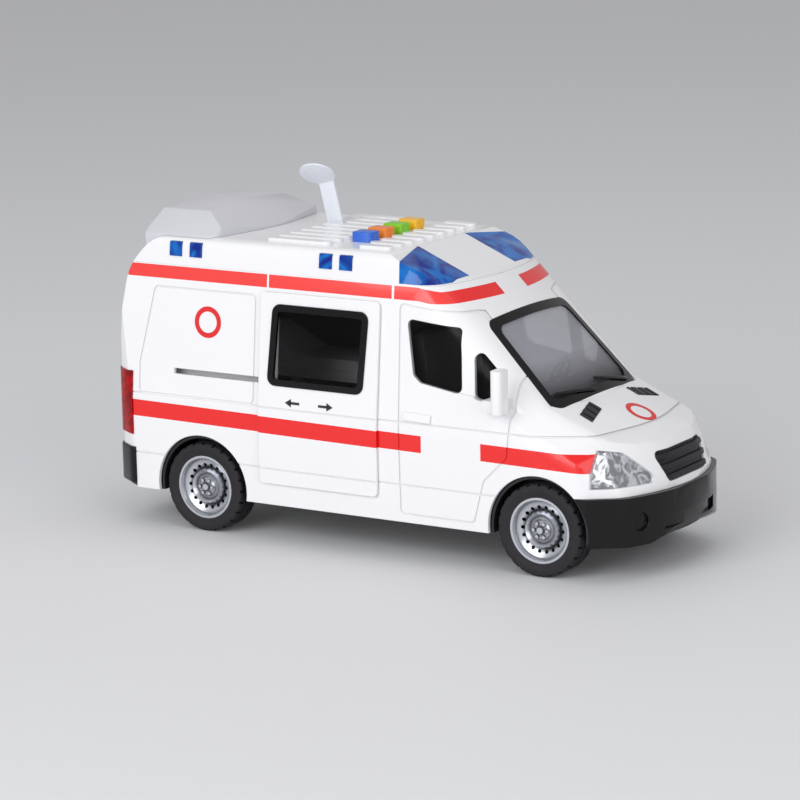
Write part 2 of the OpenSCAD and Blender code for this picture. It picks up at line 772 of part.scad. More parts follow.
module roof_pod() color(white) difference() {
    intersection() {
        along_y(-pod_y, pod_y, all_round(scaled(pod_shares, pod_rear_x, roof_z, pod_l, pod_h), pod_r));
        along_x(-reach, reach, all_round([[-pod_y, 0], [pod_y, 0], [pod_y, roof_z],
            [pod_top_y, roof_z + pod_h - pod_crown], [0, roof_z + pod_h],
            [-pod_top_y, roof_z + pod_h - pod_crown], [-pod_y, roof_z]], pod_r));
        along_z(0, reach, rounded([[pod_rear_x, -pod_y], [pod_rear_x + pod_l - pod_corner, -pod_y],
            [pod_rear_x + pod_l, 0], [pod_rear_x + pod_l - pod_corner, pod_y], [pod_rear_x, pod_y]],
            [0, 2 * pod_r, pod_bow_r, 2 * pod_r, 0]));
    }
    cab_form(-seat_gap);
}
module blue_lens(side) color(blue) intersection() {
    cab_skin(0, lens_t);
    lens_hole(side, seat_gap);
}
module side_lights(side) color(blue) intersection() {
    cab_skin(-side_light_proud, side_light_t);
    side_light_holes(side, seat_gap);
}
flange_top_z = roof_z - wall - seat_gap;
switch_top_z = board_top_z + switch_h;
module sound_button(i, tint) color(tint) {
    along_z(flange_top_z - button_flange_t, roof_z + button_h, button_pts(i, 0));
    along_z(flange_top_z - button_flange_t, flange_top_z, button_pts(i, button_flange));
    rod_z(button_x, button_y(i), button_stem_d, switch_top_z + button_travel + slide_gap, flange_top_z);
}
module circuit_board() color([0.1, 0.4, 0.2]) {
    block(board_rear_x, board_front_x, -board_w / 2, board_w / 2, board_z, board_top_z);
    for (i = [0:button_count - 1]) {
        block(button_x - switch_l / 2, button_x + switch_l / 2, button_y(i) - switch_l / 2,
            button_y(i) + switch_l / 2,
            board_top_z, board_top_z + switch_h / 2);
        rod_z(button_x, button_y(i), switch_d, board_top_z, switch_top_z);
    }
}
module lamp_leds() color([0.8, 0.9, 1]) for (side = sides)
    translate([board_front_x + seat_gap, side * led_y, board_z + board_t / 2]) rotate([0, quarter, 0]) {
        cylinder(d = led_d, h = led_l);
        translate([0, 0, led_l]) sphere(d = led_d);
    }
module pull_tab() color(white) on_tab() {
    block(-tab_w / 2, tab_w / 2, -tab_t / 2, tab_t / 2, -tab_down, tab_up);
    translate([0, 0, tab_up - tab_t]) rotate([tab_bend, 0, 0]) {
        rod_y(0, tab_head_d / 2 - tab_t, tab_head_d, -tab_t / 2, tab_t / 2);
    }
}

module door_skin(d0, d1) intersection() {
    cab_skin(-slide_gap - d0, -slide_gap - d1);
    block(-reach, reach, -reach, 0, 0, reach);
}
module slide_door() color(white) difference() {
    union() {
        intersection() {
            door_skin(door_t, 0);
            along_y(-reach, 0, door_pts);
        }
        intersection() {
            door_skin(door_t / 2, -wall - 2 * slide_gap);
            for (i = [0:len(runners) - 1]) runner(i, 0, 0);
        }
    }
    along_y(-reach, 0, door_window_pts(0));
    difference() {
        waist_lines();
        cab_form(groove_depth - slide_gap - door_t);
    }
}
module door_window_frame() color(black) intersection() {
    door_skin(door_t + door_frame_proud, 0);
    ring_y(-reach, 0, door_window_pts(seat_gap), door_frame_w);
}
module door_window_pane() color(grey) intersection() {
    door_skin(door_t / 2 + door_pane_t / 2, door_t / 2 - door_pane_t / 2);
    along_y(-reach, 0, inset(door_window_pts(seat_gap), door_frame_w + seat_gap));
}
module door_clips() color(white) intersection() {
    door_skin(-wall - 2 * slide_gap, -wall - 2 * slide_gap - clip_t);
    for (i = [0:len(runners) - 1]) runner(i, slide_gap + clip_lap, 0);
}

module windscreen_frame() color(black) intersection() {
    cab_skin(0, frame_t);
    difference() {
        screen_hole(seat_gap);
        screen_hole(frame_w);
    }
}
module windscreen() color(grey) intersection() {
    cab_skin(frame_t + seat_gap, frame_t + seat_gap + glass_t);
    screen_hole(seat_gap);
}
module wipers() color(black) intersection() {
    cab_skin(-wiper_t, -seat_gap);
    on_screen() for (w = wiper_places) along_z(-screen_depth, screen_depth,
        [[-wiper_in, w[1]], [-wiper_in, w[1] - wiper_w], [-wiper_in - wiper_rise, w[0]],
            [-wiper_in - wiper_rise - wiper_w, w[0]], [-wiper_in - wiper_w, w[1]]]);
}
module cab_glass(side) color(grey) intersection() {
    cab_skin(glass_face, glass_face + glass_t);
    cab_windows(seat_gap, low_y(side), high_y(side));
}
module rear_glass() color(grey) intersection() {
    cab_skin(glass_face, glass_face + glass_t);
    rear_windows(seat_gap);
}
module mirror_piece(side) color(white) difference() {
    scale_y(side) {
        along_z(mirror_low_z, mirror_low_z + mirror_h, all_round(box_pts(front_x - mirror_back,
            front_x - mirror_back + mirror_l,
            -mirror_y - mirror_w, -mirror_y), mirror_r));
        block(front_x - mirror_back - mirror_arm_l, front_x - mirror_back + mirror_l / 2,
            -mirror_y - mirror_w / 2, -tub_side_y,
            mirror_low_z, mirror_low_z + mirror_arm_h);
    }
    body_form(-seat_gap);
}
module bonnet_vents() color(black) intersection() {
    nose_skin(-vent_proud, vent_t);
    difference() {
        vent_holes(seat_gap);
        difference() {
            for (side = sides, i = [0:vent_slats - 1]) block(front_x - vent_back - vent_l - vent_skew,
                front_x,
                side * vent_y + (i - (vent_slats - 1) / 2) * vent_w / vent_slats - groove_w,
                side * vent_y + (i - (vent_slats - 1) / 2) * vent_w / vent_slats + groove_w, 0, reach);
            nose_form(vent_t / 2);
        }
    }
}
module headlight(side) color(grey) intersection() {
    nose_skin(0, lamp_t);
    lamp_hole(side, seat_gap);
}
module headlight_reflectors() color(steel) for (side = sides) intersection() {
    nose_skin(lamp_t + seat_gap, lamp_t + seat_gap + reflector_t);
    lamp_hole(side, seat_gap);
}
grille_pitch = (grille_top_z - grille_low_z) / grille_bars;
module front_grille() color(dark) intersection() {
    along_x(front_x - bonnet_mid, reach, grille_pts(seat_gap));
    union() {
        nose_skin(grille_bar_depth, wall);
        intersection() {
            nose_skin(-grille_proud, wall);
            for (i = [0:grille_bars - 1]) block(0, reach, -reach, reach,
                grille_low_z + i * grille_pitch + grille_bar_h / 2,
                grille_low_z + i * grille_pitch + grille_bar_h / 2 + grille_bar_h);
        }
    }
}
module tail_light(side) color([0.8, 0.05, 0.05]) intersection() {
    cab_skin(-tail_proud, lamp_t);
    tail_hole(side, seat_gap);
}
module front_bumper() color(black) difference() {
    intersection() {
        along_z(0, reach, plan_in(bumper_plan, 0));
        along_y(-reach, reach, all_round([[front_x - bumper_back, bumper_low_z], [front_x - bumper_chin,
            bumper_low_z],
            [front_x - bumper_chin / 2, bumper_chin_z], [front_x, bumper_cheek_z], [front_x, bumper_brow_z],
            [front_x - bumper_brow, nose_low_z - seat_gap], [front_x - bumper_back,
                nose_low_z - seat_gap]], bumper_r / 2));
    }
    along_z(-over, nose_low_z + over, plan_in(bumper_plan, bumper_t));
    rod_y(front_axle_x, axle_z, 2 * arch_r, -reach, reach);
    difference() {
        union() {
            block(0, reach, -intake_w / 2, intake_w / 2, intake_low_z, intake_low_z + intake_h);
            for (side = sides) translate([0, side * fog_y, fog_z]) rotate([0, quarter,
                0]) cylinder(d = fog_d, h = reach);
        }
        along_z(0, reach, plan_in(bumper_plan, intake_depth));
    }
}
module rear_bumper() color(black) difference() {
    along_z(sill_z + plate_t, rear_bumper_top_z - seat_gap, plan_in(nose_plan, -bumper_lip));
    along_z(0, reach, plan_in(nose_plan, bumper_t));
    block(body_rear_x + rear_bumper_x - seat_gap, reach, -reach, reach, 0, reach);
}

plate_top_z = sill_z + plate_t;
well_r = arch_r - well_gap;
well_in_y = half_w - wall - plate_gap - liner_w;
cell_box_l = cell_d + 2 * battery_margin;
cell_box_w = cell_count * cell_pitch + 2 * battery_margin;
cover_t = plate_t / 2;
function battery_pts(grow) = box_pts(battery_x - cell_box_l / 2 - grow, battery_x + cell_box_l / 2 + grow,
    -cell_box_w / 2 - grow, cell_box_w / 2 + grow);
housing_rear_x = rear_axle_x - housing_rear;
housing_front_x = housing_rear_x + housing_l;
module axle_bore(x, grow) rod_y(x, axle_z, axle_d + 2 * grow, -reach, reach);
module posts(d, z0, z1) for (x = [-post_x, post_x], side = sides) rod_z(x, side * post_y, d, z0, z1);
module chassis() color(black) difference() {
    union() {
        difference() {
            union() {
                intersection() {
                    along_z(sill_z, plate_top_z, plan_in(nose_plan, wall + plate_gap));
                    block(-reach, front_x - bumper_back, -reach, reach, 0, reach);
                }
                intersection() {
                    along_z(sill_z, plate_top_z, plan_in(bumper_plan, bumper_t + plate_gap));
                    block(front_x - bumper_back, reach, -reach, reach, 0, reach);
                }
            }
            for (x = axles, side = sides) scale_y(side) block(x - well_r + liner_t / 2,
                x + well_r - liner_t / 2,
                -reach, -well_in_y - liner_t / 2, 0, reach);
        }
        for (x = axles, side = sides) scale_y(side) difference() {
            rod_y(x, axle_z, 2 * well_r, -well_in_y - liner_w, -well_in_y);
            rod_y(x, axle_z, 2 * (well_r - liner_t), -reach, -well_in_y - liner_t);
            block(-reach, reach, -reach, reach, -reach, sill_z);
        }
        for (side = sides) block(front_axle_x - bearing_l / 2, front_axle_x + bearing_l / 2,
            side * (bearing_y + bearing_w / 2) - bearing_w / 2,
                side * (bearing_y + bearing_w / 2) + bearing_w / 2,
            sill_z, axle_z + bearing_h);
        difference() {
            along_z(sill_z, plate_top_z + battery_h, battery_pts(battery_wall));
            along_z(sill_z - over, plate_top_z + battery_h + over, battery_pts(0));
        }
    }
    along_z(sill_z - over, sill_z + cover_t, battery_pts(cover_lap));
    along_z(sill_z, reach, battery_pts(0));
    block(housing_rear_x - plate_gap, housing_front_x + plate_gap, -housing_half_w - plate_gap,
        housing_half_w + plate_gap, 0, reach);
    axle_bore(front_axle_x, shaft_gap);
    for (side = sides) rod_y(rear_axle_x, axle_z, 2 * axle_d, side < 0 ? -reach : 0, side < 0 ? 0 : reach);
    for (ring = [1, 2], i = [0:speaker_holes * ring - 1]) translate([speaker_x, 0, 0])
        rotate([0, 0, 4 * quarter * i / (speaker_holes * ring)])
            rod_z(ring * speaker_d / 6, 0, speaker_hole_d, 0, plate_top_z + over);
    posts(screw_d + 2 * plate_gap, 0, reach);
}
module battery_cover() color(black) along_z(sill_z, sill_z + cover_t - seat_gap,
    battery_pts(cover_lap - seat_gap));
module button_cells() color(steel) for (i = [0:cell_count - 1])
    rod_z(battery_x, (i - (cell_count - 1) / 2) * cell_pitch, cell_d, sill_z + cover_t,
        sill_z + cover_t + cell_h);
module speaker() color(dark) translate([speaker_x, 0, plate_top_z + seat_gap]) {
    cylinder(d = speaker_d, h = speaker_h / 4);
    cylinder(d1 = speaker_d - speaker_h / 2, d2 = speaker_d / 2, h = speaker_h * cone_share);
    cylinder(d = speaker_d / 2, h = speaker_h);
}
module chassis_screws() color(steel) {
    posts(screw_d, sill_z - seat_gap, sill_z + screw_l);
    posts(screw_head_d, sill_z - screw_head_t - seat_gap, sill_z - seat_gap);
}

floor_top_z = floor_z + tub_t;
deck_top_z = deck_z + tub_t;
module interior_tub() color(dark) difference() {
    union() {
        intersection() {
            union() {
                block(riser_back_x, riser_front_x, -reach, reach, floor_z, floor_top_z);
                block(-reach, riser_back_x, -reach, reach, deck_z, deck_top_z);
                block(riser_front_x, front_x - deck_front, -reach, reach, deck_z, deck_top_z);
                block(riser_back_x - tub_t, riser_back_x, -reach, reach, floor_z, deck_top_z);
                block(riser_front_x, riser_front_x + tub_t, -reach, reach, floor_z, deck_top_z);
                block(tub_rear_x, bulkhead_x, tub_side_y, tub_side_y + tub_t, floor_z, tub_top_z);
                block(tub_rear_x, door_rear_x + rear_runner_x, -tub_side_y - tub_t, -tub_side_y, floor_z,
                    tub_top_z);
                block(tub_rear_x, tub_rear_x + tub_t, -tub_side_y, tub_side_y, deck_z, tub_top_z);
                block(bulkhead_x, bulkhead_x + tub_t, -tub_side_y, tub_side_y + tub_t, floor_z, tub_top_z);
            }
            body_form(wall + plate_gap);
        }
        posts(post_d, plate_top_z + seat_gap, floor_top_z);
    }
    posts(screw_d + 2 * seat_gap, 0, floor_z);
    block(tub_rear_x - reach, riser_back_x - tub_t, -reach, reach, 0, deck_z);
}
module cab_seats() color(black) for (side = sides) intersection() {
    along_y(side < 0 ? -seat_in - seat_w : seat_in, side < 0 ? -seat_in : seat_in + seat_w,
        all_round(scaled(seat_shares, seat_rear_x, floor_top_z + seat_gap, seat_l, seat_h), seat_r));
    along_x(0, reach, all_round(box_pts(side < 0 ? -seat_in - seat_w : seat_in,
        side < 0 ? -seat_in : seat_in + seat_w,
        floor_top_z, floor_top_z + seat_h + over), 2 * seat_r));
}
dash_pts = scaled(dash_shares, dash_x, deck_top_z + seat_gap, dash_l, dash_h);
dash_face = [dash_pts[len(dash_pts) - 3], dash_pts[len(dash_pts) - 2]];
dash_mid = (dash_face[0] + dash_face[1]) / 2;
column_lean = atan2(dash_face[0].y - dash_face[1].y, dash_face[0].x - dash_face[1].x);
module dashboard() color(dark) intersection() {
    along_y(-dash_half_w, dash_half_w, all_round(dash_pts, seat_gap));
    body_form(wall + plate_gap);
}
module steering_wheel() color(black) translate([dash_mid.x, wheel_ring_y, dash_mid.y]) rotate([0,
    -column_lean, 0])
    translate([0, 0, seat_gap]) {
        cylinder(d = column_d, h = column_l);
        translate([0, 0, column_l]) {
            rotate_extrude() translate([wheel_ring_d / 2, 0]) circle(d = wheel_ring_t, $fn = 24);
            for (i = [0:spoke_count - 1]) rotate([0, 0, 4 * quarter * i / spoke_count]) block(0,
                wheel_ring_d / 2, -wheel_ring_t / 2,
                wheel_ring_t / 2,
                -wheel_ring_t / 3, wheel_ring_t / 3);
        }
    }
bed_rear_x = bed_front_x - bed_l;
module stretcher() color(grey) {
    difference() {
        along_z(bed_z, bed_z + bed_t, all_round(box_pts(bed_rear_x, bed_front_x, bed_y, bed_y + bed_w),
            bed_r));
        along_z(bed_z + bed_t / 2, bed_z + bed_t + over, all_round(inset(box_pts(bed_rear_x, bed_front_x,
            bed_y, bed_y + bed_w), bed_wall), bed_r));
    }
    intersection() {
        along_y(bed_y + bed_wall, bed_y + bed_w - bed_wall, all_round([[bed_rear_x + bed_wall, bed_z],
            [bed_front_x - bed_wall, bed_z], [bed_front_x - bed_wall, bed_z + bed_t + mattress_t],
            [bed_rear_x + head_rest_l, bed_z + bed_t + mattress_t], [bed_rear_x + bed_leg_in,
                bed_z + bed_t + mattress_t + head_rest_rise],
            [bed_rear_x + bed_wall, bed_z + bed_t + mattress_t + head_rest_rise]], bed_wall));
        along_z(0, reach, all_round(box_pts(bed_rear_x, bed_front_x, bed_y + bed_wall,
            bed_y + bed_w - bed_wall), bed_r));
    }
    for (y = [bed_y, bed_y + bed_w - bed_leg]) {
        block(bed_front_x - bed_leg_in - bed_leg, bed_front_x - bed_leg_in, y, y + bed_leg,
            floor_top_z + seat_gap, bed_z + bed_t / 3);
        block(bed_rear_x + bed_leg_in, bed_rear_x + bed_leg_in + bed_leg, y, y + bed_leg,
            deck_top_z + seat_gap, bed_z + bed_t / 3);
    }
}

// Gear outline: involute flanks of a few points each, with a tooth on the X axis
function involute(a) = tan(a) - a * PI / (2 * quarter);
function gear_pts(teeth, addendum) =
    let (r = gear_module * teeth / 2, base = r * cos(pressure_angle), tip = r + addendum * gear_module,
         root = r - dedendum_share * gear_module, low = max(base, root),
         half = quarter / teeth * (1 - backlash_share),
         lean = involute(pressure_angle) * 2 * quarter / PI,
         flank = [for (i = [0:flank_steps]) let (q = low + (tip - low) * i / flank_steps)
             [q, half + lean - involute(acos(min(1, base / q))) * 2 * quarter / PI]])
    [for (t = [0:teeth - 1]) let (mid = 4 * quarter * t / teeth) each concat(
        [root * [cos(mid - flank[0][1]), sin(mid - flank[0][1])]],
        [for (i = [root < low ? 0 : 1:flank_steps]) flank[i][0] * [cos(mid - flank[i][1]),
            sin(mid - flank[i][1])]],
        [for (i = [flank_steps:-1:root < low ? 0 : 1]) flank[i][0] * [cos(mid + flank[i][1]),
            sin(mid + flank[i][1])]],
        [root * [cos(mid + flank[0][1]), sin(mid + flank[0][1])]])];
function turned(pts, a, x, z) = [for (p = pts) [x + p.x * cos(a) - p.y * sin(a),
    z + p.x * sin(a) + p.y * cos(a)]];
gear_outline = gear_pts(gear_teeth, gear_addendum_share);
pinion_outline = gear_pts(pinion_teeth, pinion_addendum_share);
pinion_step = 2 * quarter + 2 * quarter / pinion_teeth;
pin_y = housing_half_w - plate_gap;
module drive_gear() color(white) difference() {
    along_y(gear_y, gear_y + gear_t, turned(gear_outline, idler_dir, rear_axle_x, axle_z));
    axle_bore(rear_axle_x, seat_gap);
}
module idler_gear() color(white) {
    along_y(gear_y - pinion_spare, gear_y + gear_t + pinion_spare, turned(pinion_outline,
        idler_dir + pinion_step, idler_x, idler_z));
    along_y(idler_y, idler_y + gear_t, turned(gear_outline, flywheel_dir, idler_x, idler_z));
    rod_y(idler_x, idler_z, pin_d, -pin_y, pin_y);
}
module flywheel() color(steel) {
    along_y(idler_y - pinion_spare, idler_y + gear_t + pinion_spare,
        turned(pinion_outline, flywheel_dir + pinion_step, flywheel_x, flywheel_z));
    rod_y(flywheel_x, flywheel_z, flywheel_d, flywheel_y, flywheel_y + flywheel_t);
    rod_y(flywheel_x, flywheel_z, pin_d, -pin_y, pin_y);
}
module motor_housing(side) color(grey) difference() {
    union() {
        along_y(side < 0 ? -housing_half_w : 0, side < 0 ? 0 : housing_half_w,
            all_round(box_pts(housing_rear_x, housing_front_x,
            axle_z - housing_low, axle_z - housing_low + housing_h), housing_r));
        for (x = [housing_rear_x - housing_tab, housing_front_x - housing_tab]) block(x,
            x + 2 * housing_tab,
            side < 0 ? -housing_tab_w : 0, side < 0 ? 0 : housing_tab_w, plate_top_z + seat_gap,
                plate_top_z + seat_gap + housing_tab_t);
    }
    along_y(housing_t - housing_half_w, housing_half_w - housing_t,
        all_round(box_pts(housing_rear_x + housing_t,
        housing_front_x - housing_t, axle_z - housing_low + housing_t,
            axle_z - housing_low + housing_h - housing_t), housing_r - housing_t));
    axle_bore(rear_axle_x, shaft_gap);
    rod_y(idler_x, idler_z, pin_d + 2 * shaft_gap, -reach, reach);
    rod_y(flywheel_x, flywheel_z, pin_d + 2 * shaft_gap, -reach, reach);
}

axle_half = wheel_back_y + rim_bore_top - seat_gap;
module wheel_axle(x) color(steel) rod_y(x, axle_z, axle_d, -axle_half, axle_half);
module at_wheel(x, side) translate([x, side * wheel_back_y, axle_z]) rotate([-side * quarter, 0,
    0]) children();
rim_r = rim_d / 2;
rim_bore_r = axle_d / 2 + seat_gap;
rim_pts = [[0, rim_bore_top], [rim_bore_r, rim_bore_top], [rim_bore_r, rim_bore_low], [rim_hub_r,
    rim_bore_low],
    [rim_hub_r, rim_disc], [rim_r - rim_lip, rim_disc], [rim_r - rim_lip, rim_margin], [rim_r,
        rim_margin], [rim_r, rim_w],
    [rim_r - rim_lip / 2, rim_w], [rim_r - rim_lip, rim_w - rim_lip], [rim_dish_r + rim_dish_t,
        rim_disc + rim_disc_t],
    [rim_dish_r, rim_disc + rim_disc_t + rim_dish], [rim_hub_r + rim_dish_t,
        rim_disc + rim_disc_t + rim_dish_t],
    [rim_hub_r, rim_hub_h - rim_dish_t], [rim_hub_r - rim_nub_h, rim_hub_h], [rim_nub_r, rim_hub_h],
    [rim_nub_r - rim_nub_h / 2, rim_hub_h + rim_nub_h], [0, rim_hub_h + rim_nub_h]];
module wheel_rim(x, side) color(steel) at_wheel(x, side) {
    difference() {
        rotate_extrude() polygon(rim_pts);
        for (i = [0:wheel_holes - 1]) rotate([0, 0, 4 * quarter * i / wheel_holes])
            rod_z(wheel_hole_r, 0, wheel_hole_d, 0, rim_w + over);
    }
    for (i = [0:lug_count - 1]) rotate([0, 0, 4 * quarter * i / lug_count])
        rod_z(lug_r, 0, lug_d, rim_hub_h - rim_dish_t, rim_hub_h + lug_h);
}
tyre_r = tyre_d / 2;
module tyre(x, side) color(dark) at_wheel(x, side) difference() {
    rotate_extrude() polygon(rounded([[tyre_seat, tyre_bulge], [(tyre_seat + tyre_r) / 2, 0], [tyre_r,
        0], [tyre_r, tyre_w],
        [(tyre_seat + tyre_r) / 2, tyre_w], [tyre_seat, tyre_w - tyre_bulge]], [0, tyre_shoulder,
            tyre_shoulder, tyre_shoulder, tyre_shoulder, 0]));
    for (side = sides) rotate_extrude() translate([tyre_r - tread_depth,
        tyre_w / 2 + side * tread_track - tread_groove / 2])
        square([tread_depth + over, tread_groove]);
    for (i = [0:tread_blocks - 1]) rotate([0, 0, 4 * quarter * i / tread_blocks]) {
        block(tyre_r - tread_depth, tyre_r + over, -tread_block_w / 2, tread_block_w / 2, -over,
            tread_block_l);
        block(tyre_r - tread_depth, tyre_r + over, -tread_block_w / 2, tread_block_w / 2,
            tyre_w - tread_block_l, tyre_w + over);
    }
}

translate([0, frame_y, 0]) {
    body_shell();
    roof_shell();
    roof_pod();
    blue_lens(right);  // blue_lens_right
    blue_lens(left);  // blue_lens_left
    side_lights(right);  // side_lights_right
    side_lights(left);  // side_lights_left
    sound_button(0, [0.18, 0.41, 0.82]);  // button_blue
    sound_button(1, [0.96, 0.53, 0.16]);  // button_orange
    sound_button(2, [0.51, 0.8, 0.12]);  // button_green
    sound_button(3, [0.98, 0.75, 0.12]);  // button_yellow
    circuit_board();
    lamp_leds();
    pull_tab();
    slide_door();
    door_window_frame();
    door_window_pane();
    door_clips();
    windscreen_frame();
    windscreen();
    wipers();
    cab_glass(right);  // cab_glass_right
    cab_glass(left);  // cab_glass_left
    rear_glass();
    mirror_piece(right);  // mirror_right
    bonnet_vents();
    headlight(right);  // headlight_right
    headlight(left);  // headlight_left
    headlight_reflectors();
    front_grille();
    tail_light(right);  // tail_light_right
    tail_light(left);  // tail_light_left
    front_bumper();
    rear_bumper();
    chassis();
    battery_cover();
    button_cells();
    speaker();
    chassis_screws();
    interior_tub();
    cab_seats();
    dashboard();
    steering_wheel();
    stretcher();
    drive_gear();
    idler_gear();
    flywheel();
    motor_housing(right);  // motor_housing_right
    motor_housing(left);  // motor_housing_left
    wheel_axle(front_axle_x);  // front_axle
    wheel_axle(rear_axle_x);  // rear_axle
    wheel_rim(front_axle_x, right);  // rim_front_right
    wheel_rim(front_axle_x, left);  // rim_front_left
    wheel_rim(rear_axle_x, right);  // rim_rear_right
    wheel_rim(rear_axle_x, left);  // rim_rear_left
    tyre(front_axle_x, right);  // tyre_front_right
    tyre(front_axle_x, left);  // tyre_front_left
    tyre(rear_axle_x, right);  // tyre_rear_right
    tyre(rear_axle_x, left);  // tyre_rear_left
}
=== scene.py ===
import json
import math

import bpy
from mathutils import Matrix, Vector


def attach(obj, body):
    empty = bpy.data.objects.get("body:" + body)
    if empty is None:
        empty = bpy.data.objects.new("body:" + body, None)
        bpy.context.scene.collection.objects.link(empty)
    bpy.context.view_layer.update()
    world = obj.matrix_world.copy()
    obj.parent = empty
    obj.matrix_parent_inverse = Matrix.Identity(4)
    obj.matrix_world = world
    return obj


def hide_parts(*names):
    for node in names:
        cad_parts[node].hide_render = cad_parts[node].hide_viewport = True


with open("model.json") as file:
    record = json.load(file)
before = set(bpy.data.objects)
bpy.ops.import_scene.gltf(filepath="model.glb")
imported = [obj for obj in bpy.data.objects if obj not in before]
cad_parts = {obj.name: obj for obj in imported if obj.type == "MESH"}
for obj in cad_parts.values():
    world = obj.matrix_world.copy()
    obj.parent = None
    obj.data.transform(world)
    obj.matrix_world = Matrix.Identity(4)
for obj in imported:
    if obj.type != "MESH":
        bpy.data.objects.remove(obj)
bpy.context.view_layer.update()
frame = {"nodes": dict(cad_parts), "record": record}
record = frame["record"]
bodyOf = {node: body for body, nodes in record["behaviour"]["bodies"].items() for node in nodes}
slotOf = {part["node"]: part["material_slot"] for part in record["subparts"]}
midY = 0.00375  # the van's own middle plane; the mirror sets the frame off it
print("frame loaded:", len(frame["nodes"]), "nodes")


# Screen colours are written 0 to 255, and sockets take linear light
screen = dict(full=255, knee=0.04045, slope=12.92, offset=0.055, power=2.4)


def toLinear(rgb):
    linear = []
    for value in rgb:
        share = value / screen["full"]
        if share <= screen["knee"]:
            linear.append(share / screen["slope"])
        else:
            linear.append(((share + screen["offset"]) / (1 + screen["offset"])) ** screen["power"])
    return linear + [1.0]


def toRadians(degrees):
    return [math.radians(angle) for angle in degrees]


def pickOnly(piece):
    bpy.ops.object.select_all(action="DESELECT")
    piece.select_set(True)
    bpy.context.view_layer.objects.active = piece


def wear(piece, material):
    piece.data.materials.clear()
    piece.data.materials.append(material)


def applyModifier(piece, kind, **settings):
    pickOnly(piece)
    modifier = piece.modifiers.new(kind.title(), kind)
    for key, value in settings.items():
        setattr(modifier, key, value)
    bpy.ops.object.modifier_apply(modifier=modifier.name)


def feed(tree, socket, value):
    if isinstance(value, (int, float, list)):
        socket.default_value = value
    else:
        tree.links.new(value, socket)


def compute(tree, operation, first, second=0.0):
    node = tree.nodes.new("ShaderNodeMath")
    node.operation = operation
    feed(tree, node.inputs[0], first)
    feed(tree, node.inputs[1], second)
    return node.outputs[0]


def within(tree, value, low, high):
    above = compute(tree, "GREATER_THAN", value, low)
    return compute(tree, "MULTIPLY", above, compute(tree, "LESS_THAN", value, high))


def without(tree, mask, cut):
    return compute(tree, "MULTIPLY", mask, compute(tree, "SUBTRACT", 1.0, cut))


# How far a value lies past a start, times a slope
def past(tree, value, start, slope):
    over = compute(tree, "MAXIMUM", compute(tree, "SUBTRACT", value, start))
    return compute(tree, "MULTIPLY", over, slope)


def splitPlace(tree, place):
    node = tree.nodes.new("ShaderNodeSeparateXYZ")
    tree.links.new(place, node.inputs[0])
    return node.outputs


def fromMiddle(tree, y):
    return compute(tree, "ABSOLUTE", compute(tree, "SUBTRACT", y, midY))


# A Mix node has sockets of one name for each kind of value, so the color ones go by number
mixSockets = dict(factor=0, first=6, second=7, result=2)


def mixColors(tree, factor, first, second):
    node = tree.nodes.new("ShaderNodeMix")
    node.data_type = "RGBA"
    feed(tree, node.inputs[mixSockets["factor"]], factor)
    feed(tree, node.inputs[mixSockets["first"]], first)
    feed(tree, node.inputs[mixSockets["second"]], second)
    return node.outputs[mixSockets["result"]]


def noise(tree, place, scale, detail=3.0, twist=0.0):
    node = tree.nodes.new("ShaderNodeTexNoise")
    node.inputs["Scale"].default_value = scale
    node.inputs["Detail"].default_value = detail
    node.inputs["Distortion"].default_value = twist
    tree.links.new(place, node.inputs["Vector"])
    return node.outputs["Fac"]


# What a look has where it says nothing else, and what all looks share
plainLook = dict(dim=0.95, cloud=40.0, skin=0.05, grain=900.0)
finish = dict(glossLow=0.8, glossHigh=1.2, glossCloud=3, skinDepth=0.0002, skinDetail=2.0, edgeSamples=6)
shaderSockets = {
    "metal": "Metallic",
    "coat": "Coat Weight",
    "clear": "Transmission Weight",
    "spec": "Specular IOR Level",
    "alpha": "Alpha",
}


# Cloudy tone, uneven gloss and a fine skin on one shader; paint may lay a pattern over the tone
def makeMaterial(name, ownValues, paint=None):
    look = {**plainLook, **ownValues}
    material = bpy.data.materials.new(name)
    material.use_nodes = True
    tree = material.node_tree
    shader = tree.nodes["Principled BSDF"]
    place = tree.nodes.new("ShaderNodeTexCoord").outputs["Object"]

    tone = toLinear(look["color"])
    dim = [value * look["dim"] for value in tone[:3]] + [1.0]
    color = mixColors(tree, noise(tree, place, look["cloud"]), dim, tone)
    if paint:
        color = paint(tree, place, color)
    tree.links.new(color, shader.inputs["Base Color"])

    gloss = tree.nodes.new("ShaderNodeMapRange")
    gloss.inputs["To Min"].default_value = look["rough"] * finish["glossLow"]
    gloss.inputs["To Max"].default_value = look["rough"] * finish["glossHigh"]
    tree.links.new(noise(tree, place, look["cloud"] * finish["glossCloud"]), gloss.inputs["Value"])
    tree.links.new(gloss.outputs["Result"], shader.inputs["Roughness"])

    bump = tree.nodes.new("ShaderNodeBump")
    bump.inputs["Strength"].default_value = look["skin"]
    bump.inputs["Distance"].default_value = finish["skinDepth"]
    tree.links.new(noise(tree, place, look["grain"], finish["skinDetail"]), bump.inputs["Height"])
    if "edge" in look:
        edge = tree.nodes.new("ShaderNodeBevel")
        edge.samples = finish["edgeSamples"]
        edge.inputs["Radius"].default_value = look["edge"]
        tree.links.new(edge.outputs["Normal"], bump.inputs["Normal"])
    tree.links.new(bump.outputs["Normal"], shader.inputs["Normal"])

    for key, socket in shaderSockets.items():
        if key in look:
            shader.inputs[socket].default_value = look[key]
    return material


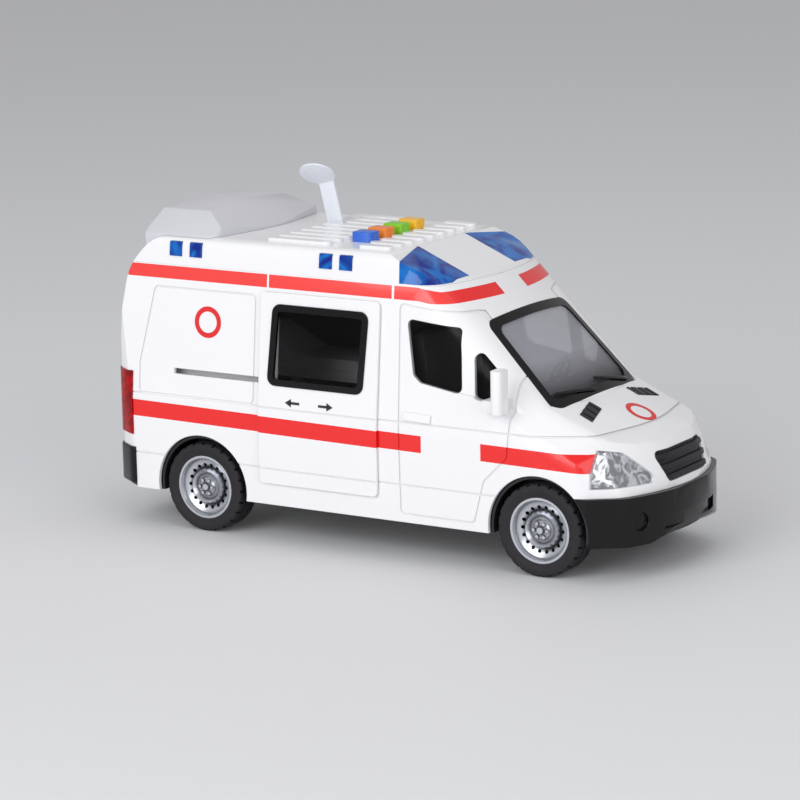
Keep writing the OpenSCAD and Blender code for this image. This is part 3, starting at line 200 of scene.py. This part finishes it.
# Red bands on the sides and round the roof front; widths count from the middle plane. The upper band's
# paler red on the sides is painted light.
bands = dict(
    color=(232, 22, 22), sideLitRed=(238, 62, 58),
    side=0.0520, belt=0.058, lean=0.0967, noseX=0.092, noseFall=0.55,
    lowTop=0.05700, lowFall=-0.0122, lowWidth=0.0076,
    lowRear=-0.1255, lowFront=0.1195, breakX=(0.0305, 0.0605),
    highTop=0.1210, topFall=0.21, topDrop=0.0019, highLow=0.1151, lowEdgeFall=0.13, lowEdgeDrop=0.0008,
    turnX=0.0270, highRear=-0.1285, seams=((-0.0520, -0.0510), (0.0135, 0.0147)),
    frontX=0.0220, frontY=0.0412, gapY=0.0100,
)


def paintBands(tree, place, ground):
    x, y, z = splitPlace(tree, place)
    wide = fromMiddle(tree, y)
    leanIn = past(tree, z, bands["belt"], bands["lean"])
    inward = compute(tree, "ADD", leanIn, past(tree, x, bands["noseX"], bands["noseFall"]))
    onSide = compute(tree, "GREATER_THAN", wide, compute(tree, "SUBTRACT", bands["side"], inward))

    top = compute(tree, "ADD", compute(tree, "MULTIPLY", x, bands["lowFall"]), bands["lowTop"])
    low = within(tree, z, compute(tree, "SUBTRACT", top, bands["lowWidth"]), top)
    low = compute(tree, "MULTIPLY", low, within(tree, x, bands["lowRear"], bands["lowFront"]))
    low = compute(tree, "MULTIPLY", without(tree, low, within(tree, x, *bands["breakX"])), onSide)

    # Past the turn, both edges of the upper band sink towards the windscreen
    topFall = past(tree, x, bands["turnX"], bands["topFall"])
    topFall = compute(tree, "MINIMUM", topFall, bands["topDrop"])
    topEdge = compute(tree, "SUBTRACT", bands["highTop"], topFall)
    lowFall = past(tree, x, bands["turnX"], bands["lowEdgeFall"])
    lowFall = compute(tree, "MINIMUM", lowFall, bands["lowEdgeDrop"])
    lowEdge = compute(tree, "SUBTRACT", bands["highLow"], lowFall)
    high = within(tree, z, lowEdge, topEdge)
    atFront = compute(tree, "GREATER_THAN", x, bands["frontX"])
    high = compute(tree, "MULTIPLY", high, compute(tree, "MAXIMUM", onSide, atFront))
    high = compute(tree, "MULTIPLY", high, compute(tree, "GREATER_THAN", x, bands["highRear"]))
    for seam in bands["seams"]:
        high = without(tree, high, within(tree, x, *seam))
    high = without(tree, high, compute(tree, "LESS_THAN", wide, bands["gapY"]))
    facing = compute(tree, "MULTIPLY", atFront, compute(tree, "LESS_THAN", wide, bands["frontY"]))

    # Painted light: the upper band is paler red on the sides, and its front face keeps the deep red
    highColor = mixColors(tree, facing, toLinear(bands["sideLitRed"]), toLinear(bands["color"]))
    color = mixColors(tree, low, ground, toLinear(bands["color"]))
    return mixColors(tree, high, color, highColor)


# Painted glints: a twisted noise, sharpened about its mean, between the tone and a second colour; painted
# cyan highlights on the blue lenses, painted reflections on the chrome reflectors
glints = {
    "reflector": dict(second=(44, 46, 52), scale=230.0, twist=1.4, sharp=6.0),
    "blue_lens": dict(second=(8, 108, 192), scale=75.0, twist=1.6, sharp=3.2),
}
glintNoise = dict(detail=1.0, mean=0.5)


def paintGlints(glint):
    def paint(tree, place, ground):
        swirl = noise(tree, place, glint["scale"], glintNoise["detail"], glint["twist"])
        share = compute(tree, "SUBTRACT", swirl, glintNoise["mean"])
        share = compute(tree, "MULTIPLY", share, glint["sharp"])
        share = compute(tree, "ADD", share, glintNoise["mean"])
        share = compute(tree, "MINIMUM", compute(tree, "MAXIMUM", share), 1.0)
        return mixColors(tree, share, ground, toLinear(glint["second"]))
    return paint


# Painted light and shade on the cut cells of the red lamp covers: each cell lies between a darker red and
# the tone
facets = dict(dark=(120, 2, 8), scale=420.0)


def paintFacetLight(tree, place, ground):
    cells = tree.nodes.new("ShaderNodeTexVoronoi")
    cells.inputs["Scale"].default_value = facets["scale"]
    tree.links.new(place, cells.inputs["Vector"])
    shade = tree.nodes.new("ShaderNodeSeparateColor")
    tree.links.new(cells.outputs["Color"], shade.inputs[0])
    return mixColors(tree, shade.outputs[0], toLinear(facets["dark"]), ground)


# Dull shadow left in grooves and round the lugs of the plated rims
recess = dict(dark=(22, 24, 28), reach=0.0020, depth=4.5, samples=8)


def paintRecess(tree, place, ground):
    hollow = tree.nodes.new("ShaderNodeAmbientOcclusion")
    hollow.samples = recess["samples"]
    hollow.only_local = True
    hollow.inputs["Distance"].default_value = recess["reach"]
    share = compute(tree, "POWER", hollow.outputs["AO"], recess["depth"])
    return mixColors(tree, share, toLinear(recess["dark"]), ground)


# Painted reflection of the sky in the upper windscreen, fading at its foot to painted shade where the
# dark cabin shows through
screenReflection = dict(foot=(40, 40, 44), footZ=0.074, slope=70.0)


def paintScreenReflection(tree, place, ground):
    z = splitPlace(tree, place)["Z"]
    rise = compute(tree, "MINIMUM", past(tree, z, screenReflection["footZ"], screenReflection["slope"]), 1.0)
    return mixColors(tree, rise, toLinear(screenReflection["foot"]), ground)


# The tub's outer faces, seen through the runner slots, are bare white plastic
tubSkin = dict(color=(244, 244, 246), wide=0.0434)


def paintTub(tree, place, ground):
    y = splitPlace(tree, place)["Y"]
    outside = compute(tree, "GREATER_THAN", fromMiddle(tree, y), tubSkin["wide"])
    return mixColors(tree, outside, ground, toLinear(tubSkin["color"]))


looks = {
    "white_body": dict(color=(238, 238, 240), rough=0.24, coat=0.3, dim=0.98, skin=0.03, edge=0.0005),
    "tab_strip": dict(color=(226, 230, 238), rough=0.35, dim=0.96),
    "blue_lens": dict(color=(0, 40, 150), rough=0.08, spec=0.3, coat=0.2, dim=0.6, cloud=70.0,
                      skin=0.2, grain=420.0),
    "blue_button": dict(color=(45, 105, 210), rough=0.3, dim=0.92),
    "orange_button": dict(color=(245, 135, 40), rough=0.3, dim=0.92),
    "green_button": dict(color=(130, 205, 30), rough=0.3, dim=0.92),
    "yellow_button": dict(color=(250, 190, 30), rough=0.3, dim=0.92),
    "circuit_board": dict(color=(30, 110, 60), rough=0.5),
    "lamp_led": dict(color=(225, 236, 250), rough=0.12, clear=0.4),
    "black_trim": dict(color=(10, 10, 12), rough=0.15, spec=0.3, dim=0.8, edge=0.0003),
    "grille_trim": dict(color=(36, 36, 40), rough=0.38, spec=0.3, dim=0.85, edge=0.0002),
    # The roof pod's greyer white is the body white with painted shade
    "pod_shaded_white": dict(color=(206, 206, 212), rough=0.3, dim=0.97, skin=0.03, edge=0.0006),
    "clear_window": dict(color=(10, 10, 11), rough=0.05, spec=0.3, dim=0.9, skin=0.0, alpha=0.2),
    # The windscreen's pale grey tone is a painted reflection of the sky
    "screen_window": dict(color=(186, 187, 196), rough=0.06, dim=0.8, cloud=14.0, skin=0.0, alpha=0.5),
    "clear_lamp": dict(color=(226, 228, 234), rough=0.05, dim=0.9, skin=0.1, alpha=0.16),
    "reflector": dict(color=(232, 233, 237), rough=0.14, metal=0.8, skin=0.5, grain=320.0, edge=0.0004),
    "red_lamp": dict(color=(186, 2, 10), rough=0.25, spec=0.2, dim=0.8, skin=0.4, grain=500.0),
    "black_chassis": dict(color=(26, 26, 28), rough=0.5, dim=0.85),
    "steel": dict(color=(190, 192, 196), rough=0.25, metal=1.0),
    "dark_cabin": dict(color=(48, 47, 47), rough=0.5, dim=0.85),
    "grey_cabin": dict(color=(222, 222, 226), rough=0.45, dim=0.92),
    "gear_plastic": dict(color=(222, 222, 216), rough=0.4, dim=0.94),
    "silver_rim": dict(color=(204, 207, 214), rough=0.26, metal=0.75, dim=0.9, skin=0.08),
    "tyre": dict(color=(40, 38, 42), rough=0.7, spec=0.3, dim=0.85, cloud=90.0, skin=0.3, grain=700.0),
}
patterns = {
    "reflector": paintGlints(glints["reflector"]),
    "red_lamp": paintFacetLight,
    "blue_lens": paintGlints(glints["blue_lens"]),
    "screen_window": paintScreenReflection,
    "silver_rim": paintRecess,
}
materials = {slot: makeMaterial(slot, look, patterns.get(slot)) for slot, look in looks.items()}
materials["white_bands"] = makeMaterial("white_bands", looks["white_body"], paintBands)
materials["tub_plastic"] = makeMaterial("tub_plastic", looks[slotOf["interior_tub"]], paintTub)

# Pieces whose look is not the plain one of their slot
ownLook = {
    "body_shell": "white_bands",
    "slide_door": "white_bands",
    "roof_pod": "pod_shaded_white",
    "windscreen": "screen_window",
    "interior_tub": "tub_plastic",
    "front_grille": "grille_trim",
    "bonnet_vents": "grille_trim",
}
print("materials made:", len(materials))


# A shown piece from a copy of its CAD node: welded, edges rounded, smooth across shallow angles
meshCare = dict(weld=2e-6, flat=0.3, corner=38, segments=3, smooth=32.0)  # angles in degrees


def refine(node, edge):
    piece = bpy.data.objects.new(node + "Look", frame["nodes"][node].data.copy())
    bpy.context.scene.collection.objects.link(piece)
    pickOnly(piece)
    if piece.data.has_custom_normals:
        bpy.ops.mesh.customdata_custom_splitnormals_clear()
    bpy.ops.object.mode_set(mode="EDIT")
    bpy.ops.mesh.select_all(action="SELECT")
    bpy.ops.mesh.remove_doubles(threshold=meshCare["weld"])
    if edge:
        bpy.ops.mesh.dissolve_limited(angle_limit=math.radians(meshCare["flat"]))
    bpy.ops.mesh.normals_make_consistent(inside=False)
    bpy.ops.object.mode_set(mode="OBJECT")
    if edge:
        applyModifier(piece, "BEVEL", width=edge, segments=meshCare["segments"], limit_method="ANGLE",
                      angle_limit=math.radians(meshCare["corner"]))
    pickOnly(piece)
    bpy.ops.object.shade_smooth_by_angle(angle=math.radians(meshCare["smooth"]))
    wear(piece, materials[ownLook.get(node, slotOf[node])])
    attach(piece, bodyOf[node])
    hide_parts(node)
    return piece


# Rounding of the pieces that get a bevel
edges = {
    "roof_pod": 0.0012, "pull_tab": 0.0002, "mirror_right": 0.0018, "rear_bumper": 0.0008,
    "button_blue": 0.0007, "button_orange": 0.0007, "button_green": 0.0007, "button_yellow": 0.0007,
    "cab_seats": 0.001, "dashboard": 0.0008, "stretcher": 0.0006, "wipers": 0.0003,
}
# Pieces hidden inside or underneath keep their CAD mesh
plainNodes = [
    "circuit_board", "lamp_leds", "drive_gear", "idler_gear", "flywheel", "motor_housing_right",
    "motor_housing_left", "button_cells", "speaker", "chassis_screws", "battery_cover",
]
shown = {}
for node in frame["nodes"]:
    if node in plainNodes:
        wear(frame["nodes"][node], materials[slotOf[node]])
    else:
        shown[node] = refine(node, edges.get(node, 0.0))
print("pieces refined:", len(shown))


# A flat print lifted off the skin it lies on
printLift = 0.00012


def layPrint(flat, base, material, body):
    pickOnly(flat)
    bpy.ops.object.transform_apply(location=True, rotation=True, scale=True)
    applyModifier(flat, "SHRINKWRAP", target=base, wrap_method="NEAREST_SURFACEPOINT",
                  wrap_mode="ABOVE_SURFACE", offset=printLift)
    wear(flat, material)
    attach(flat, body)


# Plain red rings on the side and the bonnet, turned in degrees
rings = dict(
    radius=0.0072, band=0.0023, corners=64, cuts=2,
    look=dict(color=(222, 34, 36), rough=0.3, dim=0.97),
    spots={
        "sideRing": dict(at=(-0.0835, midY - 0.0492, 0.0970), turn=(90, 0, 0)),
        "bonnetRing": dict(at=(0.1105, midY + 0.0010, 0.0655), turn=(0, 24, 0)),
    },
)
ringMaterial = makeMaterial("ringPrint", rings["look"])
for name, spot in rings["spots"].items():
    bpy.ops.mesh.primitive_circle_add(vertices=rings["corners"], radius=rings["radius"], fill_type="NGON",
                                      location=spot["at"], rotation=toRadians(spot["turn"]))
    ring = bpy.context.active_object
    ring.name = name
    bpy.ops.object.mode_set(mode="EDIT")
    bpy.ops.mesh.select_all(action="SELECT")
    bpy.ops.mesh.inset(thickness=rings["band"])
    bpy.ops.mesh.delete(type="FACE")
    bpy.ops.mesh.select_all(action="SELECT")
    bpy.ops.mesh.subdivide(number_cuts=rings["cuts"])
    bpy.ops.object.mode_set(mode="OBJECT")
    layPrint(ring, shown["body_shell"], ringMaterial, "van")

# Double arrow under the door window: a three-cornered head and a bar to each side
arrow = dict(
    middle=(-0.0270, midY - 0.0538, 0.0650), reach=0.0105, bar=0.0012, head=0.0022, gap=0.0050,
    corners=3, quarter=90, look=dict(color=(40, 40, 42), rough=0.35),
)
x, y, z = arrow["middle"]
barbs = []
for way in (-1, 1):
    tip = (x + way * arrow["reach"], y, z)
    headTurn = toRadians((arrow["quarter"], way * arrow["quarter"], 0))
    bpy.ops.mesh.primitive_circle_add(vertices=arrow["corners"], radius=arrow["head"], fill_type="NGON",
                                      location=tip, rotation=headTurn)
    barbs.append(bpy.context.active_object)
    stem = (x + way * (arrow["reach"] + arrow["gap"]) / 2, y, z)
    bpy.ops.mesh.primitive_plane_add(size=1, location=stem, rotation=toRadians((arrow["quarter"], 0, 0)))
    bpy.context.active_object.scale = (arrow["reach"] - arrow["gap"], arrow["bar"], 1)
    barbs.append(bpy.context.active_object)
bpy.ops.object.select_all(action="DESELECT")
for barb in barbs:
    barb.select_set(True)
bpy.context.view_layer.objects.active = barbs[0]
bpy.ops.object.transform_apply(location=True, rotation=True, scale=True)
bpy.ops.object.join()
doorArrow = bpy.context.active_object
doorArrow.name = "doorArrow"
arrowMaterial = makeMaterial("arrowPrint", arrow["look"])
layPrint(doorArrow, shown["slide_door"], arrowMaterial, "side_door")
print("prints laid")

# Floor and soft light
floorValues = dict(size=6, look=dict(color=(226, 227, 229), rough=0.6, dim=0.99, cloud=2.0))
bpy.ops.mesh.primitive_plane_add(size=floorValues["size"])
floor = bpy.context.active_object
floor.name = "floor"
floor.data.materials.append(makeMaterial("floor", floorValues["look"]))

studio = dict(color=(0.98, 0.98, 1.0, 1.0), strength=0.5)
world = bpy.data.worlds.new("studio")
bpy.context.scene.world = world
world.use_nodes = True
background = world.node_tree.nodes["Background"]
background.inputs["Color"].default_value = studio["color"]
background.inputs["Strength"].default_value = studio["strength"]

vanMiddle = Vector((0, 0, 0.07))  # where the lamps point
lamps = {
    "keyLamp": dict(at=(-0.2, -1.6, 0.8), size=1.2, watts=16.0),
    "fillLamp": dict(at=(1.5, -0.8, 0.7), size=1.2, watts=8.0),
    "topLamp": dict(at=(0.1, 0.3, 1.6), size=1.4, watts=3.0),
}
for name, lamp in lamps.items():
    data = bpy.data.lights.new(name, "AREA")
    data.size = lamp["size"]
    data.energy = lamp["watts"]
    light = bpy.data.objects.new(name, data)
    light.location = lamp["at"]
    light.rotation_euler = (vanMiddle - light.location).to_track_quat("-Z", "Y").to_euler()
    bpy.context.scene.collection.objects.link(light)

# Camera: angles, distance and offsets read from the wheels and edges of the photograph
shot = dict(
    azimuth=32.0, elevation=12.0, roll=-1.1, focal=148.5, sensor=36,
    target=(0, midY, 0.07), away=1.4931, aside=-0.01069, above=-0.01005,
)
azimuth, elevation, roll = toRadians((shot["azimuth"], shot["elevation"], shot["roll"]))
levelShare = math.cos(elevation)
back = Vector((math.sin(azimuth) * levelShare, -math.cos(azimuth) * levelShare, math.sin(elevation)))
level = Vector((math.cos(azimuth), math.sin(azimuth), 0))
upright = back.cross(level)
across = level * math.cos(roll) + upright * math.sin(roll)
above = upright * math.cos(roll) - level * math.sin(roll)
cameraData = bpy.data.cameras.new("camera")
cameraData.sensor_width = shot["sensor"]
cameraData.lens = shot["focal"]
camera = bpy.data.objects.new("camera", cameraData)
stand = Vector(shot["target"]) + back * shot["away"] + across * shot["aside"] + above * shot["above"]
camera.matrix_world = Matrix.Translation(stand) @ Matrix((across, above, back)).transposed().to_4x4()
bpy.context.scene.collection.objects.link(camera)

bpy.context.scene.camera = camera
bpy.context.scene.view_settings.view_transform = "Standard"
print("stage set")
